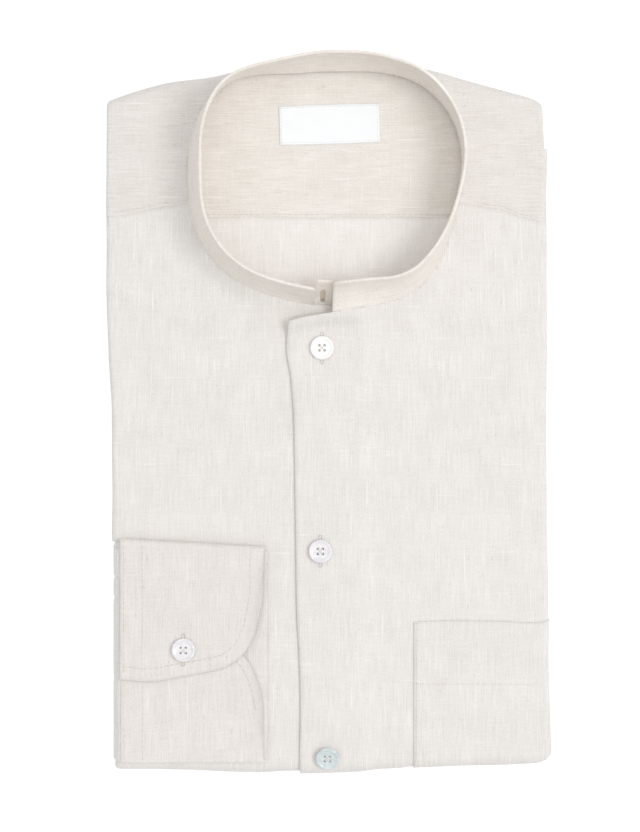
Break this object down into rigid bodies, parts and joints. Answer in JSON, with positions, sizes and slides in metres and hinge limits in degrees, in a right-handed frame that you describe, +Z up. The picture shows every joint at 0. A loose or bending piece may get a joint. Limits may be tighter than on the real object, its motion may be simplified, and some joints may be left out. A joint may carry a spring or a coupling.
{
  "type": "folded mandarin collar shirt",
  "caption": "Linen shirt with a standing mandarin collar, buttoned front, chest pocket and rounded cuff, folded and laid flat with its fronts up.",
  "frame": {"origin": "centre of the folded shirt's bounding box, on the surface it lies on", "axes": "+X to the right seen from above with the collar away, +Y towards the collar, +Z up from the surface"},
  "size_m": [0.224, 0.3604, 0.0457],
  "materials": {
    "linen": "plain-woven linen with slubs, matte",
    "linen_inside": "plain-woven linen, folded layers in shade",
    "label": "woven satin tape, bare",
    "pearl": "polished mother-of-pearl"
  },
  "bodies": {
    "root": {"front_left": "linen", "front_right": "linen", "yoke_outer": "linen", "yoke_inner": "linen", "back_panel": "linen", "collar_band": "linen", "pocket": "linen", "cuff": "linen", "sleeve": "linen", "folded_layers": "linen_inside", "neck_label": "label", "button_1": "pearl", "button_2": "pearl", "button_3": "pearl", "button_4": "pearl", "button_5": "pearl", "button_6": "pearl", "button_cuff": "pearl"}
  },
  "joints": []
}
